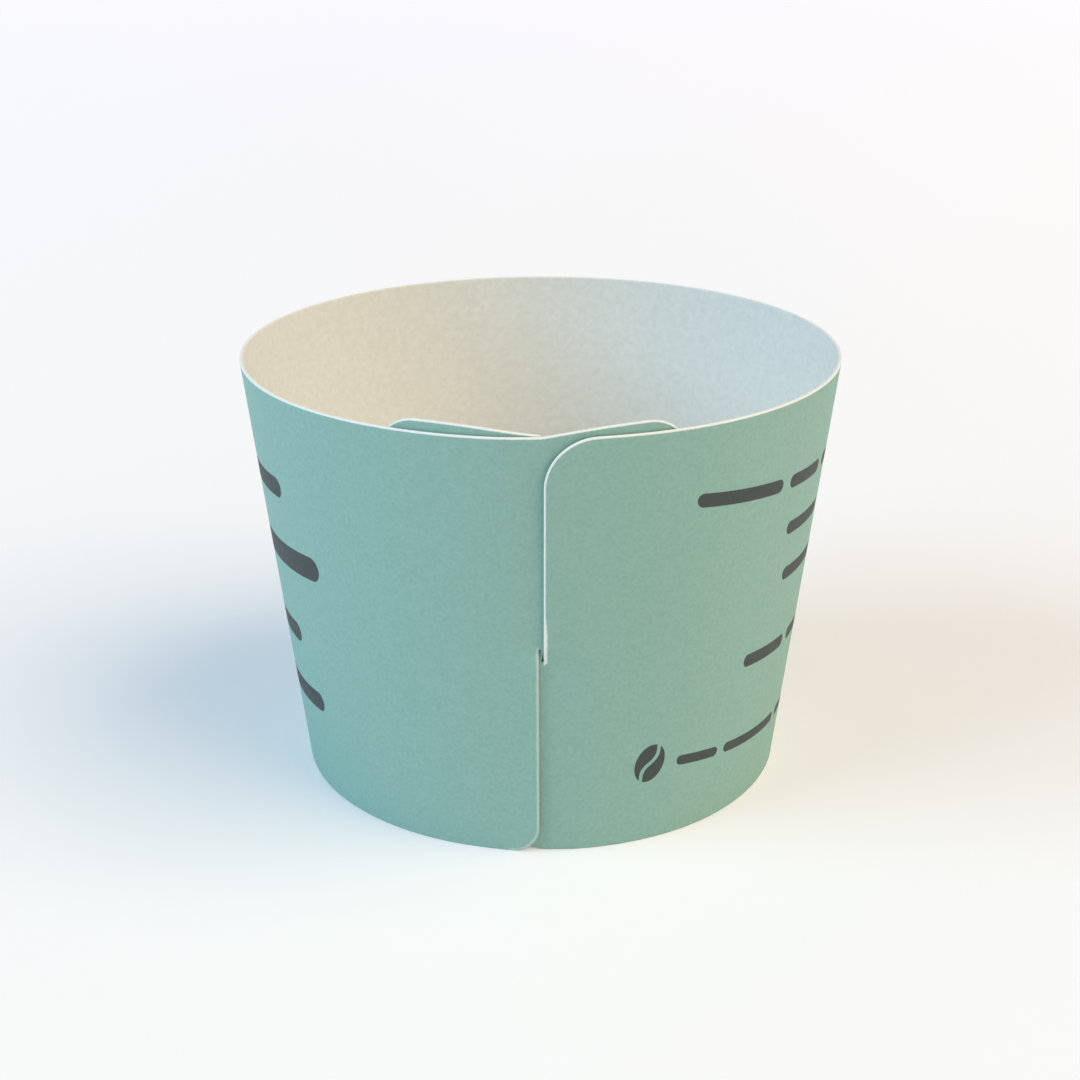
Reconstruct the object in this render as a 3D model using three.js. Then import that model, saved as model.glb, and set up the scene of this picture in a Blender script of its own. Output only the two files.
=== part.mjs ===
// A take-away cup sleeve: one die-cut strip of card, rolled into a cone that is
// wider at the top and closed without glue. One end has a slit down from the top
// edge, the other a slit up from the bottom edge. The slits slide into each other
// at the seam, and each end runs on behind the other as a tab.
// Millimetres, +Z up. The axis is Z, the bottom edge stands on Z = 0 and the seam
// faces -Y. The right end comes round through +X, the left end through -X.

import * as THREE from 'three';

// The rolled sleeve
const topDiameter = 81.4;       // across the outer face at the top edge
const bottomDiameter = 67.8;    // across the outer face at the bottom edge
const height = 59.0;            // from the bottom edge up to the top edge
const cardThickness = 0.5;
const layerClearance = 0.15;    // air between the two ends where one lies on the other

// The slits that lock
const slitWidth = 0.35;         // from lip to lip
const tabLipGap = 0.1;          // between the tabs' own lips, where both slits are open
const slitPastHalf = 0.95;      // each slit ends this far beyond half the height
const weaveLength = 7.0;        // a whole half crosses from the outer layer to the inner one
const rightCornerRadius = 6.4;  // right end, where its slit opens at the top edge
const leftCornerRadius = 3.8;   // left end, where its slit opens at the bottom edge
const cornerLift = 0.4;         // those two corners spring off the layer under them
const liftLength = 12.0;        // and the lift fades out this far from the slit

// The tabs behind the seam, with lengths along the card at half the height
const rightTabLength = 19.2;
const leftTabLength = 17.2;
const tabCornerRadius = 5.5;
const tabClimb = 1.35;          // a tab stands this much higher than the ring
const climbLength = 13.0;       // and it has climbed there this far past the seam

// Fineness of the faces
const ringStep = THREE.MathUtils.degToRad(3.4);
const seamStep = 1.6;
const cornerSteps = 5;
const rowsBelow = 5;
const rowsBetween = 4;
const rowsAbove = 5;

const card = new THREE.MeshStandardMaterial({ color: 0x96c3bd, roughness: 0.7, metalness: 0 });

const topRadius = topDiameter / 2;
const bottomRadius = bottomDiameter / 2;
const middleRadius = (topRadius + bottomRadius) / 2;
const layerStep = cardThickness + layerClearance;
const lowRoot = height / 2 - slitPastHalf;
const highRoot = height / 2 + slitPastHalf;
const tabLip = tabLipGap / 2;
const ringLip = tabLip - slitWidth;
const rows = rowsBelow + rowsBetween + rowsAbove;

const rightEnd = { tabLength: rightTabLength, slitFromTop: true, corner: rightCornerRadius };
const leftEnd = { tabLength: leftTabLength, slitFromTop: false, corner: leftCornerRadius };

/** Outer radius of the cone at a height. */
function coneRadius(z) {
  return THREE.MathUtils.lerp(bottomRadius, topRadius, z / height);
}

/** How far a rounded corner has dropped from its edge, at a distance from the corner's side. */
function cornerDrop(distance, radius) {
  const inside = Math.max(radius - distance, 0);
  return radius - Math.sqrt(radius * radius - inside * inside);
}

/** Evenly spaced values from one to another, without the last. */
function spread(from, to, step) {
  const count = Math.max(1, Math.ceil((to - from) / step));
  return Array.from({ length: count }, (_, i) => from + ((to - from) * i) / count);
}

/** Distances from a corner's side at which its arc is cut into equal turns. */
function arcStops(radius) {
  const turn = Math.PI / 2 / cornerSteps;
  return Array.from({ length: cornerSteps + 1 }, (_, i) => radius * (1 - Math.cos(i * turn)));
}

/** Column places of one end, as lengths past the seam: below zero on the ring, above it on the tab. */
function endStops(end) {
  const zone = Math.max(weaveLength, liftLength, end.corner - ringLip);
  const slitCorner = arcStops(end.corner).reverse().map((d) => ringLip - d);
  const tabCorner = arcStops(tabCornerRadius).reverse().map((d) => end.tabLength - d);
  return [
    ...spread(-zone, slitCorner[0], seamStep),
    ...slitCorner,
    ...spread(tabLip, tabCorner[0], seamStep),
    ...tabCorner,
  ];
}

/** All columns of the strip, from the right tab's end round the back to the left tab's end. */
function stripColumns() {
  const right = endStops(rightEnd).reverse();
  const left = endStops(leftEnd);
  const firstAngle = -right[right.length - 1] / middleRadius;
  const lastAngle = 2 * Math.PI + left[0] / middleRadius;
  const ring = spread(firstAngle, lastAngle, ringStep).slice(1);
  return [
    ...right.map((past) => ({ end: rightEnd, past, angle: -past / middleRadius })),
    ...ring.map(ringColumn),
    ...left.map((past) => ({ end: leftEnd, past, angle: 2 * Math.PI + past / middleRadius })),
  ];
}

/** A column of the ring belongs to the end that is nearer. */
function ringColumn(angle) {
  const end = angle < Math.PI ? rightEnd : leftEnd;
  const fromSeam = Math.min(angle, 2 * Math.PI - angle);
  return { end, past: -fromSeam * middleRadius, angle };
}

/** How far both long edges of a tab have climbed above those of the ring. */
function climb(past) {
  const run = THREE.MathUtils.clamp(past / climbLength, 0, 1);
  return tabClimb * Math.sin((Math.PI / 2) * run);
}

/** Heights of a column's top and bottom, with the rounded corners taken off. */
function columnSpan(column) {
  const { end, past } = column;
  const atTop = topRadius / middleRadius;
  const atBottom = bottomRadius / middleRadius;
  const fromTabEnd = end.tabLength - past;
  const fromSlit = past < 0 ? ringLip - past : Infinity;
  const slitDrop = (scale) => cornerDrop(Math.max(fromSlit, 0) * scale, end.corner);
  const topDrop = cornerDrop(fromTabEnd * atTop, tabCornerRadius)
    + (end.slitFromTop ? slitDrop(atTop) : 0);
  const bottomDrop = cornerDrop(fromTabEnd * atBottom, tabCornerRadius)
    + (end.slitFromTop ? 0 : slitDrop(atBottom));
  const shift = climb(past);
  return { low: shift + bottomDrop, high: height + shift - topDrop };
}

/** The heights of a column's rows, with a row on each slit's root. */
function rowHeights(column) {
  const { low, high } = columnSpan(column);
  const stretch = (from, to, count) => spread(from, to, (to - from) / count).slice(0, count);
  return [
    ...stretch(low, lowRoot, rowsBelow),
    ...stretch(lowRoot, highRoot, rowsBetween),
    ...stretch(highRoot, high, rowsAbove),
    high,
  ];
}

/** 1 where this end is slit, -1 where it is whole, and a smooth turn between the two roots. */
function slitShare(end, z) {
  const above = 2 * THREE.MathUtils.smoothstep(z, lowRoot, highRoot) - 1;
  return end.slitFromTop ? above : -above;
}

/** How far a corner beside the slit has sprung outwards. */
function liftAt({ end, past }, z) {
  if (past > 0) return 0;
  const reach = end.slitFromTop ? (z - lowRoot) / (height - lowRoot) : (highRoot - z) / highRoot;
  const fade = Math.max(1 + past / liftLength, 0);
  return cornerLift * Math.max(reach, 0) ** 1.5 * fade * fade;
}

/**
 * How far the card lies from the cone, outwards. The ring is on the cone and a tab is one
 * layer inside it. At the seam a whole half passes midway between the two layers, and the
 * lips of a slit half step aside for it, so the layers stay one layer apart everywhere.
 */
function layerOffset(column, z) {
  const side = column.past > 0 ? -1 : 1;
  const weave = -Math.sin((Math.PI / 2) * THREE.MathUtils.clamp(column.past / weaveLength, -1, 1));
  const slit = slitShare(column.end, z);
  const layer = side * (1 + slit) - slit * weave;
  return (layerStep / 2) * (layer - 1) + liftAt(column, z);
}

/** The point of a column at a height, on the outer face or, by the card's thickness, the inner. */
function cardPoint(column, z, depth) {
  const radius = coneRadius(z) + layerOffset(column, z) - depth;
  return [radius * Math.sin(column.angle), -radius * Math.cos(column.angle), z];
}

/** Whether a cell of the strip falls in one of the slits. */
function inSlit(before, after, row) {
  if (before.end !== after.end || before.past * after.past > 0) return false;
  return before.end.slitFromTop ? row >= rowsBelow : row < rowsBelow + rowsBetween;
}

/** The cells of card between the columns, as corner indices that run round the outer face. */
function cardCells(columns) {
  const cells = [];
  const corner = (i, j) => i * (rows + 1) + j;
  for (let i = 0; i + 1 < columns.length; i += 1) {
    for (let j = 0; j < rows; j += 1) {
      if (inSlit(columns[i], columns[i + 1], j)) continue;
      cells.push([corner(i, j), corner(i + 1, j), corner(i + 1, j + 1), corner(i, j + 1)]);
    }
  }
  return cells;
}

/** The cut edges: cell sides that no other cell shares, in the direction of their own cell. */
function cutEdges(cells) {
  const edges = new Map();
  for (const cell of cells) {
    cell.forEach((from, k) => {
      const to = cell[(k + 1) % 4];
      const twin = `${to},${from}`;
      if (!edges.delete(twin)) edges.set(`${from},${to}`, [from, to]);
    });
  }
  return [...edges.values()];
}

/** The strip as one closed solid: outer face, inner face and the cut edge all round. */
function sleeveGeometry() {
  const columns = stripColumns();
  const wall = cardThickness * Math.hypot(1, (topRadius - bottomRadius) / height);
  const face = (depth) => columns.flatMap(
    (column) => rowHeights(column).flatMap((z) => cardPoint(column, z, depth)),
  );
  const cells = cardCells(columns);
  const inner = columns.length * (rows + 1);
  const quads = [
    ...cells,
    ...cells.map(([a, b, c, d]) => [d + inner, c + inner, b + inner, a + inner]),
    ...cutEdges(cells).map(([a, b]) => [b, a, a + inner, b + inner]),
  ];
  const geometry = new THREE.BufferGeometry();
  const points = [...face(0), ...face(wall)];
  geometry.setAttribute('position', new THREE.Float32BufferAttribute(points, 3));
  geometry.setIndex(quads.flatMap(([a, b, c, d]) => [a, b, c, a, c, d]));
  geometry.computeVertexNormals();
  return geometry;
}

const sleeve = new THREE.Mesh(sleeveGeometry(), card);
sleeve.name = 'card_sleeve';

const group = new THREE.Group();
group.add(sleeve);

export default group;
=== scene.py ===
import math
from collections import namedtuple

import bpy
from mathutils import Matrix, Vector, geometry, kdtree, noise


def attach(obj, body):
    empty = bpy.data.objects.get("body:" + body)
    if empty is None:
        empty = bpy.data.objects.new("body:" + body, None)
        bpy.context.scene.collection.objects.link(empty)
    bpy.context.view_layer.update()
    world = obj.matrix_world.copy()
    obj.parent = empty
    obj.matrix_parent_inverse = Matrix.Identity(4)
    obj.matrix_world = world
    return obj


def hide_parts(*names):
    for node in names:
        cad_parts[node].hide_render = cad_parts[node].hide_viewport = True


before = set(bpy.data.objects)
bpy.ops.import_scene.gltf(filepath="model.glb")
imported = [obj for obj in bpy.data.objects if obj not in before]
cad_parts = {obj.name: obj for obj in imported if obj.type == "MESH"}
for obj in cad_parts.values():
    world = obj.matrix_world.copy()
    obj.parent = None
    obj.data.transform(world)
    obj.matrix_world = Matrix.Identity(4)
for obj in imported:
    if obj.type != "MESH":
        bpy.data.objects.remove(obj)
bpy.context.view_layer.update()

# The strip: solid white board, 0.5 mm thick, die-cut flat in one piece with a slit near each end,
# then rolled into a cone by hand. The slits slide into each other at the front seam, without glue,
# and each end runs on behind the other as a tab. All lengths here are in millimetres.
MM = 0.001
TOP_RADIUS = 40.7
BOTTOM_RADIUS = 33.9
HEIGHT = 59.0
BOARD = 0.5                 # thickness of the board
LAYER_STEP = 0.65           # from one layer's face to the next, with 0.15 mm of air
SLIT_WIDTH = 0.31
TAB_LIP_GAP = 0.02          # between the tabs' own lips, which the lock presses together
SLIT_PAST_HALF = 0.95
WEAVE_LENGTH = 7.0          # a whole half crosses from the outer layer to the inner one
CORNER_LIFT = 0.4           # the slit corners spring off the layer under them
LIFT_LENGTH = 12.0
TAB_CORNER = 5.5
TAB_CLIMB = 1.35            # a tab stands this much higher than the ring
CLIMB_LENGTH = 13.0         # and it has climbed there this far past the seam

MIDDLE_RADIUS = (TOP_RADIUS + BOTTOM_RADIUS) / 2
TURN = 2 * math.pi * MIDDLE_RADIUS
LOW_ROOT = HEIGHT / 2 - SLIT_PAST_HALF
HIGH_ROOT = HEIGHT / 2 + SLIT_PAST_HALF
TAB_LIP = TAB_LIP_GAP / 2
RING_LIP = TAB_LIP - SLIT_WIDTH

StripEnd = namedtuple("StripEnd", "tab slit_from_top corner")
RIGHT_END = StripEnd(tab=19.2, slit_from_top=True, corner=6.4)
LEFT_END = StripEnd(tab=17.2, slit_from_top=False, corner=3.8)


def clamp(value, low, high):
    return min(max(value, low), high)


def cone_radius(z):
    return BOTTOM_RADIUS + (TOP_RADIUS - BOTTOM_RADIUS) * z / HEIGHT


def end_at(s):
    """The strip's nearer end at a place along it, and how far that place is past the seam."""
    return (RIGHT_END, -s) if s < TURN / 2 else (LEFT_END, s - TURN)


def climb(past):
    """How far both long edges of a tab have climbed above those of the ring."""
    return TAB_CLIMB * math.sin(math.pi / 2 * clamp(past / CLIMB_LENGTH, 0, 1))


def slit_share(end, z):
    """1 where this end is slit, -1 where it is whole, and a smooth turn between the roots."""
    t = clamp((z - LOW_ROOT) / (HIGH_ROOT - LOW_ROOT), 0, 1)
    above = 2 * t * t * (3 - 2 * t) - 1
    return above if end.slit_from_top else -above


def corner_lift(end, past, z):
    """How far the corner beside the slit has sprung outwards."""
    if past > 0:
        return 0
    if end.slit_from_top:
        reach = (z - LOW_ROOT) / (HEIGHT - LOW_ROOT)
    else:
        reach = (HIGH_ROOT - z) / HIGH_ROOT
    return CORNER_LIFT * max(reach, 0) ** 1.5 * max(1 + past / LIFT_LENGTH, 0) ** 2


def layer_offset(s, z):
    """How far the card lies from the cone: 0 on the ring, one layer inside it on the tabs."""
    end, past = end_at(s)
    side = clamp(1 - 2 * (past - RING_LIP) / SLIT_WIDTH, -1, 1)
    weave = -math.sin(math.pi / 2 * clamp(past / WEAVE_LENGTH, -1, 1))
    slit = slit_share(end, z)
    layer = side * (1 + slit) - slit * weave
    return LAYER_STEP / 2 * (layer - 1) + corner_lift(end, past, z)


HAND_ROLL = 0.12            # board rolled by hand keeps shallow waves
WAVE_SIZE = 24.0
WAVE_UPRIGHT = 0.4          # the waves are longer along the cone's slope than round it


def card_point(s, z, depth):
    """The place of a point of the flat strip on the rolled one, at a depth in the board."""
    angle = s / MIDDLE_RADIUS
    around = Vector((math.sin(angle), -math.cos(angle), 0))
    radius = cone_radius(z) + layer_offset(s, z) - depth
    where = (around * MIDDLE_RADIUS + Vector((0, 0, z * WAVE_UPRIGHT))) / WAVE_SIZE
    radius += HAND_ROLL * noise.noise(where)
    return (around * radius + Vector((0, 0, z))) * MM


# The cut line round the strip. A steel rule cuts it, so the corners at the slits and the tabs are
# true arcs and the roots of the slits are round. It is drawn flat, then filled with small faces.
CUT_STEP = 0.5
RING_STEP = 1.0
ARC_STEPS = 14
ROOT_STEPS = 8
SEAM_ZONE = 14.0            # the cut line has its finer steps this far from the seam


def steps(start, stop, size):
    """Evenly spaced values from start to stop, without stop."""
    count = max(1, math.ceil(abs(stop - start) / size))
    return [start + (stop - start) * i / count for i in range(count)]


def edge_height(past, up):
    """Height of the top (up = 1) or bottom (-1) cut line on the flat strip."""
    return climb(past) + (HEIGHT if up > 0 else 0)


def slit_line(end, up, squeeze):
    """The cut from the edge round the slit's corner, down one lip, round the root and up again."""
    edge = edge_height(RING_LIP, up)
    across = end.corner / squeeze
    line = []
    for turn in steps(0, math.pi / 2, math.pi / 2 / ARC_STEPS):
        past = RING_LIP - across * (1 - math.sin(turn))
        line.append((past, edge - up * end.corner * (1 - math.cos(turn))))
    root_radius = SLIT_WIDTH / 2
    root = (LOW_ROOT if up > 0 else HIGH_ROOT) + up * root_radius
    line += [(RING_LIP, z) for z in steps(edge - up * end.corner, root, CUT_STEP)]
    for turn in steps(0, math.pi, math.pi / ROOT_STEPS):
        past = RING_LIP + root_radius * (1 - math.cos(turn))
        line.append((past, root - up * root_radius * math.sin(turn)))
    line += [(TAB_LIP, z) for z in steps(root, edge_height(TAB_LIP, up), CUT_STEP)]
    return line


def long_edge(end, up):
    """The top (up = 1) or bottom (-1) cut line of one end, from the ring to the tab's middle."""
    squeeze = (TOP_RADIUS if up > 0 else BOTTOM_RADIUS) / MIDDLE_RADIUS
    has_slit = end.slit_from_top == (up > 0)
    start = RING_LIP - end.corner / squeeze if has_slit else TAB_LIP
    line = [(past, edge_height(past, up)) for past in steps(-SEAM_ZONE, start, CUT_STEP)]
    if has_slit:
        line += slit_line(end, up, squeeze)
    across = TAB_CORNER / squeeze
    line += [(past, edge_height(past, up)) for past in steps(TAB_LIP, end.tab - across, CUT_STEP)]
    for turn in steps(0, math.pi / 2, math.pi / 2 / ARC_STEPS):
        past = end.tab - across * (1 - math.sin(turn))
        line.append((past, edge_height(past, up) - up * TAB_CORNER * (1 - math.cos(turn))))
    corner_end = edge_height(end.tab, up) - up * TAB_CORNER
    line += [(end.tab, z) for z in steps(corner_end, HEIGHT / 2, CUT_STEP)]
    return line


def ring_edge(up):
    """The long edge round the sides and back, where the ring has no slit or tab."""
    return [(s, edge_height(-SEAM_ZONE, up)) for s in steps(SEAM_ZONE, TURN - SEAM_ZONE, RING_STEP)]


def cut_line():
    """The whole outline of the flat strip, anticlockwise, as (place along it, height)."""
    right_low = [(-past, z) for past, z in long_edge(RIGHT_END, -1)]
    left_low = [(TURN + past, z) for past, z in long_edge(LEFT_END, -1)]
    left_high = [(TURN + past, z) for past, z in long_edge(LEFT_END, 1)]
    right_high = [(-past, z) for past, z in long_edge(RIGHT_END, 1)]
    middle = HEIGHT / 2
    line = [(-RIGHT_END.tab, middle)] + right_low[::-1] + ring_edge(-1)[1:] + left_low
    line += [(TURN + LEFT_END.tab, middle)] + left_high[::-1] + ring_edge(1)[:0:-1] + right_high
    return [Vector(point) for point in line]


def inset(line, distance):
    """The outline moved inwards, with its corners mitred."""
    moved = []
    for i, point in enumerate(line):
        back = (point - line[i - 1]).normalized().orthogonal()
        ahead = (line[(i + 1) % len(line)] - point).normalized().orthogonal()
        moved.append(point + (back + ahead) * distance / (1 + back.dot(ahead)))
    return moved


ROUNDING = 0.14             # the die presses the cut edges this round
EDGE_RINGS = (0.0, 0.02, 0.07, 0.14, 0.3)
FINE_ZONE = SEAM_ZONE + 4
COLUMN_STEP = 0.9
ROW_STEP = 1.2
CLEAR_OF_CUT = 0.5          # the places inside stay this far from the rings
SLIT_MARGIN = 0.3
SLIVER = 0.004              # a face lower than this is left out


def face_points(rings):
    """Places inside the cut line, in columns and rows that are closer together at the seam."""
    ring_points = [point for ring in rings for point in ring]
    tree = kdtree.KDTree(len(ring_points))
    for i, point in enumerate(ring_points):
        tree.insert((point.x, point.y, 0), i)
    tree.balance()
    columns = steps(-RIGHT_END.tab, FINE_ZONE, COLUMN_STEP)
    columns += steps(FINE_ZONE, TURN - FINE_ZONE, 2 * COLUMN_STEP)
    columns += steps(TURN - FINE_ZONE, TURN + LEFT_END.tab, COLUMN_STEP)
    points = []
    for s in columns:
        end, past = end_at(s)
        row_step = ROW_STEP if past > -FINE_ZONE else 2 * ROW_STEP
        for z in steps(edge_height(past, -1), edge_height(past, 1), row_step):
            by_slit = RING_LIP - SLIT_MARGIN < past < TAB_LIP + SLIT_MARGIN
            in_slit = by_slit and (z > LOW_ROOT - CLEAR_OF_CUT) == end.slit_from_top
            if in_slit or not inside_corners(end, past, z):
                continue
            if tree.find((s, z, 0))[2] > CLEAR_OF_CUT:
                points.append(Vector((s, z)))
    return points


def inside_corners(end, past, z):
    """Whether a place is on the card's side of every rounded corner."""
    from_top = edge_height(past, 1) - z
    from_bottom = z - edge_height(past, -1)
    corners = [(end.tab - past, from_top, TAB_CORNER), (end.tab - past, from_bottom, TAB_CORNER)]
    if past < 0:
        from_edge = from_top if end.slit_from_top else from_bottom
        corners.append((RING_LIP - past, from_edge, end.corner))
    for across, down, radius in corners:
        if across < radius and down < radius:
            if math.hypot(radius - across, radius - down) > radius - CLEAR_OF_CUT:
                return False
    return True


def rounded_depth(distance):
    """How deep the face has turned over at a distance from the cut."""
    inside = max(ROUNDING - distance, 0)
    return ROUNDING - math.sqrt(ROUNDING ** 2 - inside ** 2)


# The sides of the sleeve carry a few lines of print. The plate is drawn flat, with the middle of
# each side upright on it, so the lines bend a little upwards at their ends on the rolled strip.
CONE_SLOPE = math.atan2(TOP_RADIUS - BOTTOM_RADIUS, HEIGHT)


def print_place(s, z):
    """Where a point lies on the printing plate: along the strip, and up from the bottom edge."""
    quarter = math.pi / 2
    from_side = abs(abs(s / MIDDLE_RADIUS - math.pi) - quarter)
    reach = cone_radius(z) / math.sin(CONE_SLOPE)
    start = BOTTOM_RADIUS / math.sin(CONE_SLOPE)
    return s, reach * math.cos(from_side * math.sin(CONE_SLOPE)) - start


def is_sliver(a, b, c):
    """Whether three places nearly lie in one line: such a face would span the rolled sleeve."""
    longest = max((b - a).length, (c - b).length, (a - c).length)
    return abs((b - a).cross(c - a)) < SLIVER * longest


def flat_strip():
    """The flat strip as places, triangles and the distance of each place from the cut."""
    outline = cut_line()
    rings = [inset(outline, distance) for distance in EDGE_RINGS]
    count = len(outline)
    inner_points = face_points(rings)
    places = [point for ring in rings for point in ring] + inner_points
    edges = []
    for k in range(1, len(rings)):
        edges += [(k * count + i, k * count + (i + 1) % count) for i in range(count)]
    made = geometry.delaunay_2d_cdt(places, edges, [list(range(count))], 1, 1e-6, True)
    points, origins = made[0], made[3]
    faces = [face for face, inside in zip(made[2], made[5]) if inside]
    faces = [face for face in faces if not is_sliver(*[points[i] for i in face])]
    far = EDGE_RINGS[-1] * 2
    from_cut = []
    for origin in origins:
        first = min(origin)
        ring = first // count
        from_cut.append(EDGE_RINGS[ring] if ring < len(rings) else far)
    return points, faces, from_cut


# How far the ink has come off beside a cut: the bare line's width in mm, and how white it is.
# No ink has come off at the pressed lips. This also keeps the mint painted as shade on their cut edges
# even.
PRESSED_LIP = (0.02, 0.0)
LOW_LIP = (0.34, 0.34)
BOTTOM_EDGE = (0.02, 0.5)
OTHER_EDGES = (0.23, 1.0)
HIGH_LIP = 0.24
SCUFFED_LIP = 0.38          # the high slit's lip where the locking has scuffed it
SCUFF_TOP = 36.0
SCUFF_FADE = 3.0            # the scuff has its whole width this far below its top
PAST_ROOT = 0.5             # a lip's wear goes on this far past the slit's root
BESIDE_LIP = 0.02


def pressed_shut(s, z):
    """Whether a place is on a slit's root or its inner lip, where the lock holds the cut shut."""
    past = end_at(s)[1]
    return RING_LIP + BESIDE_LIP < past < TAB_LIP + 0.6 and LOW_ROOT - 1 < z < HIGH_ROOT + 1


def ink_wear(s, z):
    """The width and whiteness of the bare line beside the cut that is nearest."""
    end, past = end_at(s)
    if pressed_shut(s, z):
        return PRESSED_LIP
    near_slit = -end.corner - 1 < past < RING_LIP + BESIDE_LIP
    if near_slit and end.slit_from_top and z > LOW_ROOT - PAST_ROOT:
        scuffed = clamp((SCUFF_TOP - z) / SCUFF_FADE, 0, 1)
        return HIGH_LIP + (SCUFFED_LIP - HIGH_LIP) * scuffed, 1.0
    if near_slit and not end.slit_from_top and z < HIGH_ROOT + PAST_ROOT:
        return LOW_LIP
    if z < 2:
        return BOTTOM_EDGE
    return OTHER_EDGES


def rolled_card():
    """The rolled strip as one closed mesh: printed face, back face and the cut edge all round."""
    points, faces, from_cut = flat_strip()
    count = len(points)
    front, back = [], []
    for point, distance in zip(points, from_cut):
        turned = 0 if pressed_shut(*point) else rounded_depth(distance)
        front.append(card_point(point.x, point.y, turned))
        back.append(card_point(point.x, point.y, BOARD - turned))
    open_sides = {}
    for face in faces:
        for a, b in zip(face, face[1:] + face[:1]):
            if open_sides.pop((b, a), None) is None:
                open_sides[(a, b)] = True
    sheets = [tuple(face) for face in faces] + [tuple(i + count for i in face[::-1]) for face in faces]
    rim = [(b, a, a + count, b + count) for a, b in open_sides]
    mesh = bpy.data.meshes.new("card_strip")
    mesh.from_pydata(front + back, [], sheets + rim)
    # Painted shade: where the lock holds the cut shut, the cut edge gets the mint print and not the
    # white of bare board, so the seam reads as mint card in shadow.
    shut = [pressed_shut(*points[a]) and pressed_shut(*points[b]) for a, b in open_sides]
    slots = [0] * len(faces) + [1] * len(faces) + [0 if closed else 2 for closed in shut]
    mesh.polygons.foreach_set("material_index", slots)
    mesh.polygons.foreach_set("use_smooth", [True] * len(slots))
    wear = [ink_wear(point.x, point.y) for point in points]
    values = {
        "from_cut": from_cut,
        "bare_width": [width for width, _ in wear],
        "bareness": [whiteness for _, whiteness in wear],
    }
    for name, column in values.items():
        mesh.attributes.new(name, "FLOAT", "POINT").data.foreach_set("value", column * 2)
    plate = mesh.uv_layers.new(name="plate")
    for loop in mesh.loops:
        point = points[loop.vertex_index % count]
        plate.data[loop.index].uv = print_place(point.x, point.y)
    mesh.validate()
    return mesh


sleeve = bpy.data.objects.new("card_strip", rolled_card())
bpy.context.scene.collection.objects.link(sleeve)
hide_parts("card_sleeve")
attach(sleeve, "root")


# Mint print on the outer face: a water-based flexo ink on coated board, so it is even and matt,
# with faint mottling from the board's fibres. Along the cuts the ink has cracked off the edge.
def linear(code):
    """An sRGB hex colour as linear red, green, blue and alpha."""
    parts = [int(code[i:i + 2], 16) / 255 for i in (1, 3, 5)]
    return [*[p / 12.92 if p < 0.04045 else ((p + 0.055) / 1.055) ** 2.4 for p in parts], 1.0]


def add(tree, kind, links=(), inputs=(), **settings):
    """Adds a node with its settings, its input values and its links from other sockets."""
    made = tree.nodes.new("ShaderNode" + kind)
    for name, value in settings.items():
        setattr(made, name, value)
    for name, value in dict(inputs).items():
        made.inputs[name].default_value = value
    for name, socket in dict(links).items():
        tree.links.new(made.inputs[name], socket)
    return made


def new_material(name):
    """A material with an empty tree, and its Principled BSDF joined to the output."""
    made = bpy.data.materials.new(name)
    made.use_nodes = True
    tree = made.node_tree
    tree.nodes.clear()
    surface = add(tree, "BsdfPrincipled")
    add(tree, "OutputMaterial", {"Surface": surface.outputs[0]})
    return made, tree, surface


def fibres(tree, length, detail=4.0, roughness=0.6):
    """Noise in the object's own space with features of a length in millimetres, about 0 to 1."""
    where = add(tree, "TexCoord").outputs["Object"]
    scale = 1 / (length * MM)
    return add(tree, "TexNoise", {"Vector": where},
               {"Scale": scale, "Detail": detail, "Roughness": roughness}).outputs["Fac"]


MINT_LIGHT = "#9CC3B8"
MINT_DARK = "#93BBB0"
CHARCOAL = "#454C4D"
BOARD_WHITE = "#FAFAF6"

# Each line starts some degrees from the seam and is mirrored about the middle of its side. Its
# size is a bar's width, and its words are the bars' lengths as shares of the line.
Line = namedtuple("Line", "start height size words")
RIGHT_LINES = (
    Line(28.6, 46.8, 1.9, (3, 2, 3, 4, 3)),
    Line(55.5, 39.9, 1.9, (3, 4, 3)),
    Line(57.0, 33.0, 1.9, (7, 4)),
    Line(46.5, 22.0, 1.9, (3, 8, 3)),
    Line(30.0, 9.3, 1.5, (2, 4, 3, 5, 3, 2)),
)
LEFT_LINES = (
    Line(59.0, 45.0, 2.9, (3, 4)),
    Line(48.5, 35.0, 3.5, (4, 3, 6)),
    Line(62.0, 23.2, 2.9, (5, 3)),
    Line(55.5, 13.8, 2.9, (3, 2, 4)),
)
BEAN_PLACE = (23.4, 9.4)    # degrees from the seam, height
BEAN_SIZE = (4.2, 6.0)
BEAN_LEAN = 0.42
BEAN_SPLIT = 0.55           # width of the line down its middle
BEAN_SWING = 0.45           # and how far that line swings to each side
WORD_GAP = 0.9              # between two bars, as a share of a bar's width


def print_bars():
    """Centres and half sizes of the print's plain bars, from each line's words."""
    bars = []
    for lines, side in ((RIGHT_LINES, 90), (LEFT_LINES, 270)):
        for line in lines:
            reach = math.radians(90 - line.start) * MIDDLE_RADIUS
            gap = line.size * WORD_GAP
            unit = (2 * reach - gap * (len(line.words) - 1)) / sum(line.words)
            at = math.radians(side) * MIDDLE_RADIUS - reach
            for word in line.words:
                bars.append((at + word * unit / 2, line.height, word * unit / 2, line.size / 2))
                at += word * unit + gap
    return bars


def bar_edge(tree, plate, bar):
    """Distance in mm from the edge of one bar with rounded ends, below zero inside it."""
    x, y, half_length, half_width = bar
    moved = add(tree, "VectorMath", {0: plate}, {1: (x, y, 0)}, operation="SUBTRACT")
    folded = add(tree, "VectorMath", {0: moved.outputs[0]}, operation="ABSOLUTE")
    core = (half_length - half_width, 0, 0)
    cored = add(tree, "VectorMath", {0: folded.outputs[0]}, {1: core}, operation="SUBTRACT")
    outer = add(tree, "VectorMath", {0: cored.outputs[0]}, {1: (0, 0, 0)}, operation="MAXIMUM")
    length = add(tree, "VectorMath", {0: outer.outputs[0]}, operation="LENGTH").outputs["Value"]
    return add(tree, "Math", {0: length}, {1: half_width}, operation="SUBTRACT").outputs[0]


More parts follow.
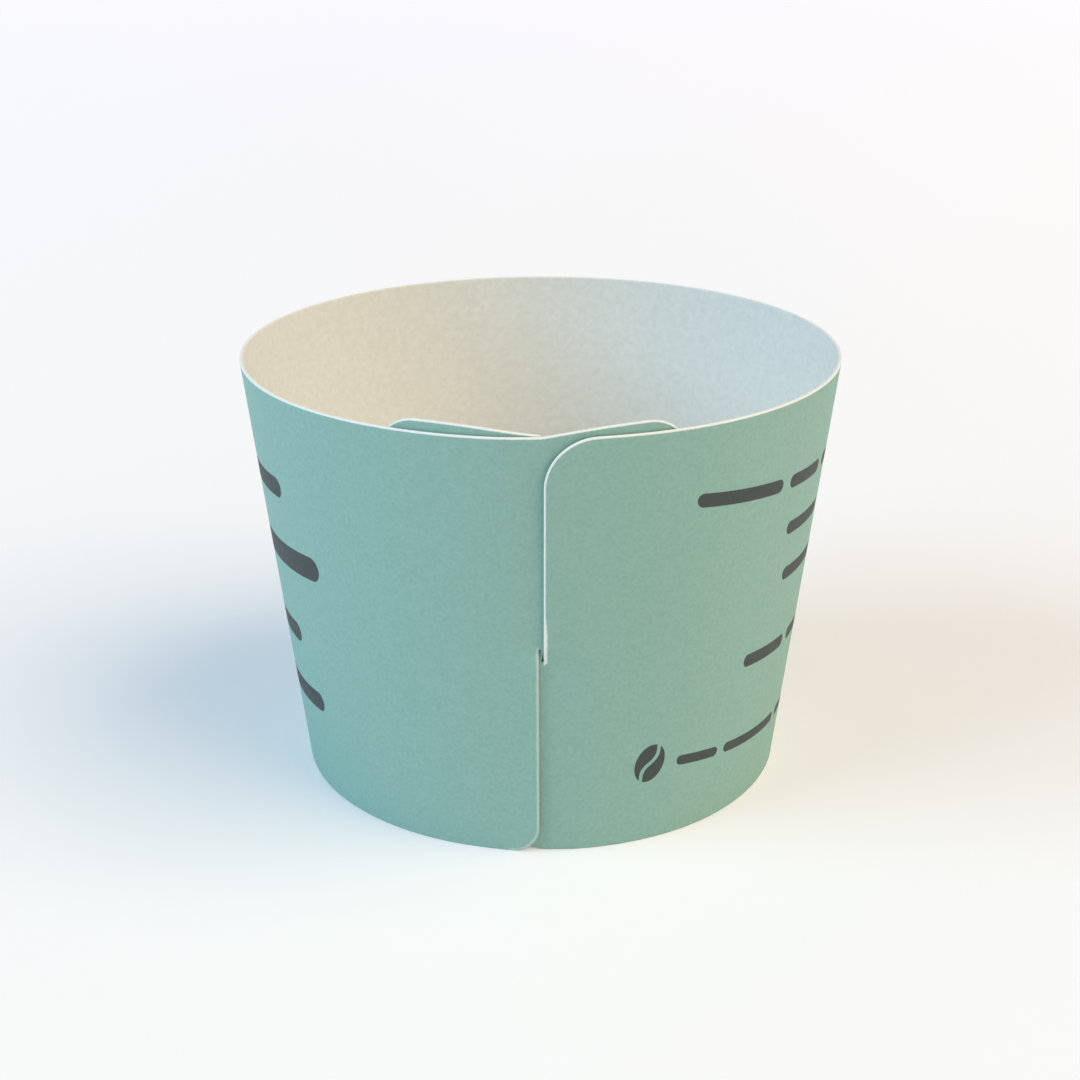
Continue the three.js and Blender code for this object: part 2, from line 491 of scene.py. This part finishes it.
def bean_edge(tree, plate):
    """Distance in mm from the edge of a small coffee bean: an oval with a curved split."""
    angle, height = BEAN_PLACE
    centre = (math.radians(angle) * MIDDLE_RADIUS, height, 0)
    moved = add(tree, "VectorMath", {0: plate}, {1: centre}, operation="SUBTRACT")
    turned = add(tree, "VectorRotate", {"Vector": moved.outputs[0]}, {"Angle": BEAN_LEAN},
                 rotation_type="Z_AXIS")
    half = [size / 2 for size in BEAN_SIZE]
    scaled = add(tree, "VectorMath", {0: turned.outputs[0]}, {1: (1 / half[0], 1 / half[1], 0)},
                 operation="MULTIPLY")
    oval = add(tree, "VectorMath", {0: scaled.outputs[0]}, operation="LENGTH").outputs["Value"]
    outside = add(tree, "Math", {0: oval}, {1: half[0], 2: -half[0]}, operation="MULTIPLY_ADD")
    place = add(tree, "SeparateXYZ", {0: turned.outputs[0]})
    swing = add(tree, "Math", {0: place.outputs["Y"]}, {1: math.pi / half[1]}, operation="MULTIPLY")
    curve = add(tree, "Math", {0: swing.outputs[0]}, operation="SINE")
    aside = add(tree, "Math", {0: curve.outputs[0], 2: place.outputs["X"]}, {1: -BEAN_SWING},
                operation="MULTIPLY_ADD")
    away = add(tree, "Math", {0: aside.outputs[0]}, operation="ABSOLUTE")
    split = add(tree, "Math", {1: away.outputs[0]}, {0: BEAN_SPLIT / 2}, operation="SUBTRACT")
    return add(tree, "Math", {0: outside.outputs[0], 1: split.outputs[0]},
               operation="MAXIMUM").outputs[0]


def print_mask(tree):
    """1 on the print's bars and bean and 0 off them, with edges a little ragged from the fibres."""
    plate = add(tree, "UVMap", uv_map="plate").outputs["UV"]
    nearest = bean_edge(tree, plate)
    for bar in print_bars():
        nearest = add(tree, "Math", {0: nearest, 1: bar_edge(tree, plate, bar)},
                      operation="MINIMUM").outputs[0]
    ragged = add(tree, "Math", {0: fibres(tree, 0.25), 2: nearest}, {1: 0.08},
                 operation="MULTIPLY_ADD")
    return add(tree, "MapRange", {"Value": ragged.outputs[0]},
               {"From Min": 0.08, "From Max": 0.0, "To Min": 0.0, "To Max": 1.0}).outputs[0]


def between_tones(tree, where, dark, light, low=0.35, high=0.65):
    """A colour that goes from a dark tone to a light one as a noise value rises."""
    tone = add(tree, "ValToRGB", {"Fac": where})
    for element, place, code in zip(tone.color_ramp.elements, (low, high), (dark, light)):
        element.position = place
        element.color = linear(code)
    return tone.outputs["Color"]


def over(tree, factor, below, code):
    """A plain colour laid over another one by a factor. Socket 7 is the node's second colour."""
    mixed = add(tree, "Mix", {"Factor": factor, "A": below}, data_type="RGBA")
    mixed.inputs[7].default_value = linear(code)
    return mixed.outputs[2]


def mint_print():
    made, tree, surface = new_material("mint_flexo_print_on_coated_board")
    colour = between_tones(tree, fibres(tree, 0.55, 3.0), MINT_DARK, MINT_LIGHT)
    colour = over(tree, print_mask(tree), colour, CHARCOAL)
    from_cut = add(tree, "Attribute", attribute_name="from_cut").outputs["Fac"]
    bare_width = add(tree, "Attribute", attribute_name="bare_width").outputs["Fac"]
    bareness = add(tree, "Attribute", attribute_name="bareness").outputs["Fac"]
    ragged = add(tree, "Math", {0: fibres(tree, 0.35), 2: from_cut}, {1: 0.12},
                 operation="MULTIPLY_ADD")
    inside = add(tree, "Math", {0: bare_width, 1: ragged.outputs[0]}, operation="SUBTRACT")
    cracked = add(tree, "MapRange", {"Value": inside.outputs[0]},
                  {"From Min": -0.09, "From Max": 0.0, "To Min": 0.0, "To Max": 1.0}).outputs[0]
    bare = add(tree, "Math", {0: cracked, 1: bareness}, operation="MULTIPLY").outputs[0]
    colour = over(tree, bare, colour, BOARD_WHITE)
    tree.links.new(surface.inputs["Base Color"], colour)
    rough = add(tree, "MapRange", {"Value": fibres(tree, 0.6)},
                {"From Min": 0.3, "From Max": 0.7, "To Min": 0.55, "To Max": 0.68}).outputs[0]
    tree.links.new(surface.inputs["Roughness"], rough)
    surface.inputs["IOR"].default_value = 1.47
    bump = add(tree, "Bump", {"Height": fibres(tree, 0.4, 5.0, 0.7)},
               {"Strength": 0.3, "Distance": 0.02 * MM})
    tree.links.new(surface.inputs["Normal"], bump.outputs[0])
    return made


# The back of the strip and its cut edges are the bare board: bleached pulp, uncoated inside, soft
# and quite matt, with the fibres showing as a fine tooth. A cut edge has a finer mottle.
def bare_board():
    made, tree, surface = new_material("bare_bleached_board")
    colour = between_tones(tree, fibres(tree, 0.9, 4.0), "#EAE9E2", "#F2F1EC")
    tree.links.new(surface.inputs["Base Color"], colour)
    surface.inputs["Roughness"].default_value = 0.85
    surface.inputs["IOR"].default_value = 1.45
    bump = add(tree, "Bump", {"Height": fibres(tree, 0.3, 6.0, 0.7)},
               {"Strength": 0.4, "Distance": 0.03 * MM})
    tree.links.new(surface.inputs["Normal"], bump.outputs[0])
    return made


def cut_board():
    made, tree, surface = new_material("die_cut_board_edge")
    colour = between_tones(tree, fibres(tree, 0.25, 3.0), "#E9E8E2", "#F5F5F1")
    tree.links.new(surface.inputs["Base Color"], colour)
    surface.inputs["Roughness"].default_value = 0.9
    surface.inputs["IOR"].default_value = 1.45
    return made


for finish in (mint_print(), bare_board(), cut_board()):
    sleeve.data.materials.append(finish)


# The studio: a plain white table top, a broad soft lamp far off on the right, as a window, and a
# weaker and cooler one on the left. The camera stands where the photograph was taken from.
FLOOR_LIFT = (0.2, 0.95)    # near the sleeve, and 3 m away
FLOOR_SIZE = 12.0           # metres


def studio_floor():
    """The table top, which the camera sees a little whiter than it is, and more so far away."""
    made, tree, surface = new_material("white_table_top")
    surface.inputs["Base Color"].default_value = linear("#F0F0F0")
    surface.inputs["Roughness"].default_value = 0.9
    surface.inputs["Specular IOR Level"].default_value = 0.0
    where = add(tree, "TexCoord").outputs["Object"]
    away = add(tree, "VectorMath", {0: where}, operation="LENGTH").outputs["Value"]
    lifted = add(tree, "MapRange", {"Value": away}, {
        "From Min": 0.05, "From Max": 3.0, "To Min": FLOOR_LIFT[0], "To Max": FLOOR_LIFT[1]})
    rays = add(tree, "LightPath").outputs["Is Camera Ray"]
    strength = add(tree, "Math", {0: rays, 1: lifted.outputs[0]}, operation="MULTIPLY")
    surface.inputs["Emission Color"].default_value = linear("#EEE3F4")
    tree.links.new(surface.inputs["Emission Strength"], strength.outputs[0])
    mesh = bpy.data.meshes.new("table_top")
    half = FLOOR_SIZE / 2
    corners = [(-half, -half, 0), (half, -half, 0), (half, half, 0), (-half, half, 0)]
    mesh.from_pydata(corners, [], [(0, 1, 2, 3)])
    mesh.materials.append(made)
    floor = bpy.data.objects.new("table_top", mesh)
    bpy.context.scene.collection.objects.link(floor)


def soft_lamp(name, place, size, watts, colour):
    """A square area lamp that faces the middle of the sleeve."""
    light = bpy.data.lights.new(name, "AREA")
    light.size = size
    light.energy = watts
    light.color = linear(colour)[:3]
    lamp = bpy.data.objects.new(name, light)
    lamp.location = place
    target = Vector((0, 0, HEIGHT / 2 * MM))
    lamp.rotation_euler = (target - Vector(place)).to_track_quat("-Z", "Y").to_euler()
    bpy.context.scene.collection.objects.link(lamp)


def room_light(colour, strength):
    """Even light from all round, which the camera sees as a white backdrop."""
    world = bpy.data.worlds.new("room")
    world.use_nodes = True
    tree = world.node_tree
    tree.nodes.clear()
    rays = add(tree, "LightPath")
    seen = rays.outputs["Is Camera Ray"]
    for kind in ("Is Glossy Ray", "Is Transmission Ray"):
        seen = add(tree, "Math", {0: seen, 1: rays.outputs[kind]}, operation="MAXIMUM").outputs[0]
    backdrop = add(tree, "Background", (), {"Color": linear("#FFFFFF"), "Strength": 1.0})
    ambient = add(tree, "Background", (), {"Color": linear(colour), "Strength": strength})
    mixed = add(tree, "MixShader", {0: seen, 1: ambient.outputs[0], 2: backdrop.outputs[0]})
    add(tree, "OutputWorld", {"Surface": mixed.outputs[0]})
    bpy.context.scene.world = world


studio_floor()
soft_lamp("window_right", place=(1.55, -0.65, 1.95), size=2.2, watts=50.0, colour="#FFE4C0")
soft_lamp("window_left", place=(-1.9, -0.7, 1.2), size=1.6, watts=32.0, colour="#B8E0FF")
room_light(colour="#E6FAFF", strength=0.35)

CAMERA_PLACE = (0.0, -0.2406, 0.1252)
CAMERA_PITCH = 0.3754       # radians below level
CAMERA_ROLL = 0.0017
FOCAL_PIXELS = 1817.0       # focal length in pixels of the 1080 pixel frame
FRAME_PIXELS = 1080

camera_data = bpy.data.cameras.new("camera")
camera_data.sensor_width = 36.0
camera_data.lens = camera_data.sensor_width * FOCAL_PIXELS / FRAME_PIXELS
camera_data.clip_start = 0.01
camera = bpy.data.objects.new("camera", camera_data)
camera.location = CAMERA_PLACE
camera.rotation_euler = (math.pi / 2 - CAMERA_PITCH, CAMERA_ROLL, 0)
bpy.context.scene.collection.objects.link(camera)
bpy.context.scene.camera = camera
bpy.context.scene.view_settings.view_transform = "Standard"
